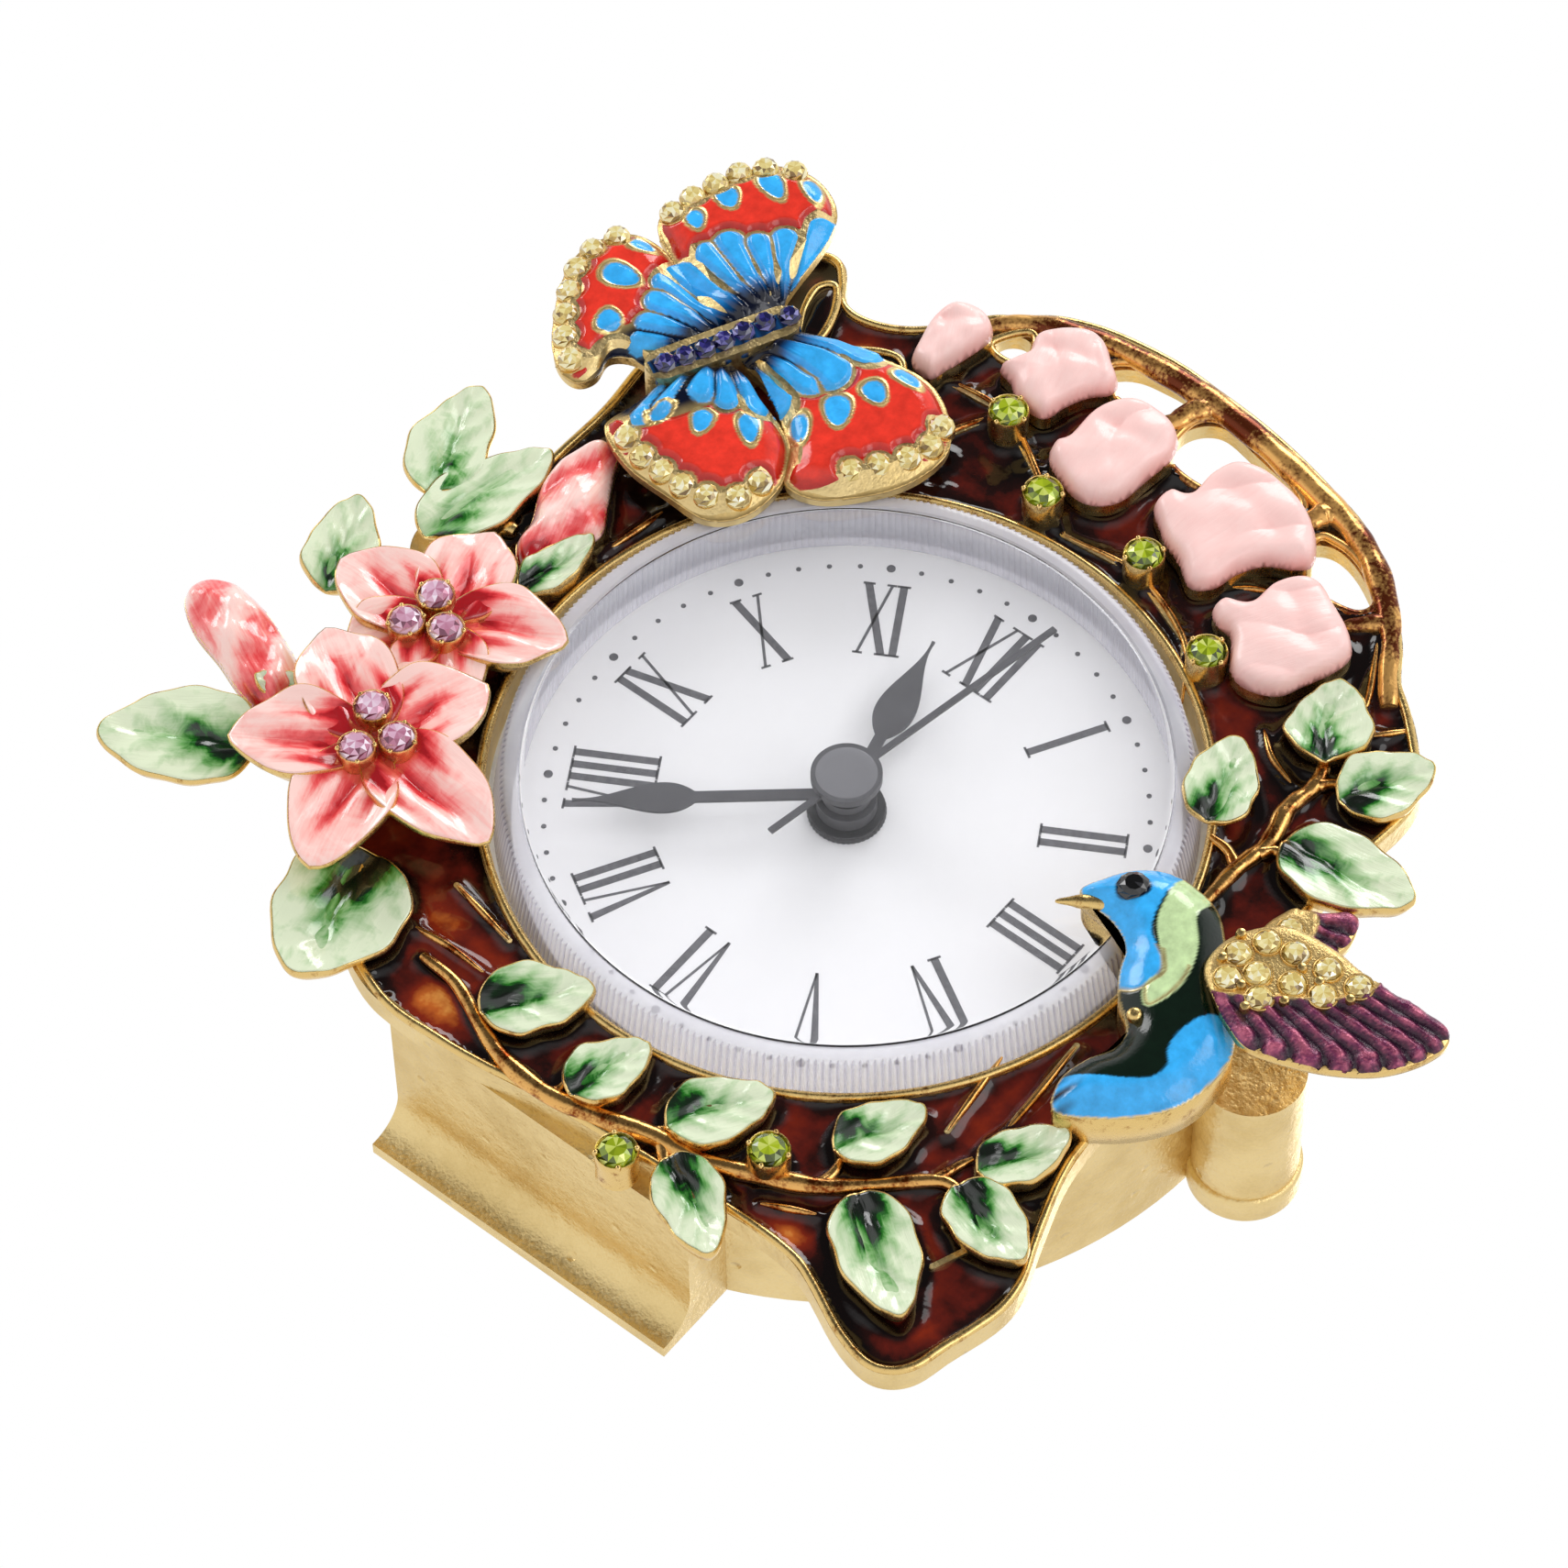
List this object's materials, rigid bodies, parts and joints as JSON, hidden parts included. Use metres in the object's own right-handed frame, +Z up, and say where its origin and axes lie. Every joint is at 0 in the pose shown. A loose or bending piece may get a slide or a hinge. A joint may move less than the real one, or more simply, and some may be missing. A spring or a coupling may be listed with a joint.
{
  "type": "pendulette clock",
  "caption": "Small standing clock: round quartz insert in a pierced enamelled frame with flowers, leaves, a bird and a butterfly, on a drum with a foot.",
  "frame": {"origin": "on the table, in the middle of the foot's land, below the middle of the dial", "axes": "+Z up; the dial faces -Y; +X towards three o'clock"},
  "size_m": [0.1211, 0.0283, 0.1045],
  "materials": {
    "gold_casting": "satin, lightly speckled",
    "brown_enamel": "glossy translucent enamel",
    "leaf_enamel": "pearly enamel",
    "petal_enamel": "streaked enamel",
    "bell_enamel": "pearly enamel",
    "bird_enamel": "glossy enamel",
    "feather_enamel": "glittered enamel",
    "wing_enamel": "glossy enamel",
    "pale_stone": "cut",
    "green_stone": "cut",
    "pink_stone": "cut",
    "dark_stone": "cut",
    "black_stone": "cut",
    "clear_acrylic": "clear, polished",
    "dial_white": "satin white",
    "hand_black": "satin dark",
    "movement_plastic": "moulded",
    "wheel_plastic": "moulded",
    "wheel_brass": "polished",
    "steel": "brushed",
    "copper_wire": "varnished",
    "board_green": "coated",
    "band_rubber": "soft"
  },
  "bodies": {
    "clock": {"front_frame": "gold_casting", "frame_enamel": "brown_enamel", "frame_screws": "steel", "rear_housing": "gold_casting", "rear_cover": "gold_casting", "cover_screws": "steel", "foot_plate": "gold_casting", "vine_branch": "gold_casting", "right_branch": "gold_casting", "vine_leaves": "leaf_enamel", "right_leaves": "leaf_enamel", "left_leaves": "leaf_enamel", "flower_upper": "petal_enamel", "flower_lower": "petal_enamel", "bud_left": "petal_enamel", "bud_top": "petal_enamel", "crystal_cups": "gold_casting", "green_crystals": "green_stone", "pink_crystals": "pink_stone", "butterfly": "gold_casting", "butterfly_enamel": "wing_enamel", "butterfly_crystals": "pale_stone", "butterfly_body_crystals": "dark_stone", "bird_body": "bird_enamel", "bird_eye": "black_stone", "bird_wing": "feather_enamel", "bird_far_wing": "feather_enamel", "bird_crystals": "pale_stone", "lens": "clear_acrylic", "insert_gasket": "band_rubber", "dial": "dial_white", "hand_nut": "wheel_brass", "movement_plate": "movement_plastic", "movement_case": "movement_plastic", "stator": "steel", "coil": "copper_wire", "circuit_board": "board_green", "battery": "steel", "battery_contacts": "steel", "bellflower_1": "bell_enamel", "bellflower_2": "bell_enamel", "bellflower_3": "bell_enamel", "bellflower_4": "bell_enamel", "bellflower_5": "bell_enamel"},
    "minute_works": {"cannon_pinion": "wheel_brass", "minute_hand": "hand_black"},
    "hour_works": {"hour_wheel": "wheel_plastic", "hour_hand": "hand_black"},
    "setting_works": {"motion_wheel": "wheel_plastic", "set_knob": "movement_plastic"},
    "seconds_works": {"seconds_wheel": "wheel_plastic", "second_hand": "hand_black"},
    "third_works": {"third_wheel": "wheel_plastic"},
    "fifth_works": {"fifth_wheel": "wheel_plastic"},
    "rotor_works": {"rotor": "wheel_plastic"},
    "centre_works": {"centre_wheel": "wheel_brass"},
    "battery_lid": {"battery_cover": "movement_plastic"}
  },
  "joints": [
    {"name": "minute_setting", "type": "hinge", "parent": "clock", "child": "minute_works", "pos_m": [0, -0.0151, 0.0472], "axis": [0, 1, 0], "continuous": true},
    {"name": "hour_turn", "type": "hinge", "parent": "clock", "child": "hour_works", "pos_m": [0, -0.0151, 0.0472], "axis": [0, 1, 0], "continuous": true},
    {"name": "knob_turn", "type": "hinge", "parent": "clock", "child": "setting_works", "pos_m": [0, -0.0151, 0.0544], "axis": [0, 1, 0], "continuous": true},
    {"name": "seconds_turn", "type": "hinge", "parent": "clock", "child": "seconds_works", "pos_m": [0, -0.0151, 0.0472], "axis": [0, 1, 0], "continuous": true},
    {"name": "third_turn", "type": "hinge", "parent": "clock", "child": "third_works", "pos_m": [0.00639, -0.0151, 0.04953], "axis": [0, 1, 0], "continuous": true},
    {"name": "fifth_turn", "type": "hinge", "parent": "clock", "child": "fifth_works", "pos_m": [-0.00662, -0.0151, 0.04603], "axis": [0, 1, 0], "continuous": true},
    {"name": "rotor_turn", "type": "hinge", "parent": "clock", "child": "rotor_works", "pos_m": [-0.00983, -0.0151, 0.04145], "axis": [0, 1, 0], "continuous": true},
    {"name": "centre_turn", "type": "hinge", "parent": "clock", "child": "centre_works", "pos_m": [0, -0.0151, 0.0472], "axis": [0, 1, 0], "continuous": true},
    {"name": "battery_lid_out", "type": "slide", "parent": "clock", "child": "battery_lid", "axis": [0, 1, 0], "range_m": [0, 0.008]}
  ],
  "couplings": [
    {"joint": "hour_turn", "follows": "minute_setting", "ratio": 0.083333},
    {"joint": "knob_turn", "follows": "minute_setting", "ratio": -0.33333},
    {"joint": "third_turn", "follows": "seconds_turn", "ratio": -0.13333},
    {"joint": "fifth_turn", "follows": "seconds_turn", "ratio": -5},
    {"joint": "rotor_turn", "follows": "seconds_turn", "ratio": 30},
    {"joint": "centre_turn", "follows": "seconds_turn", "ratio": 0.016667}
  ]
}
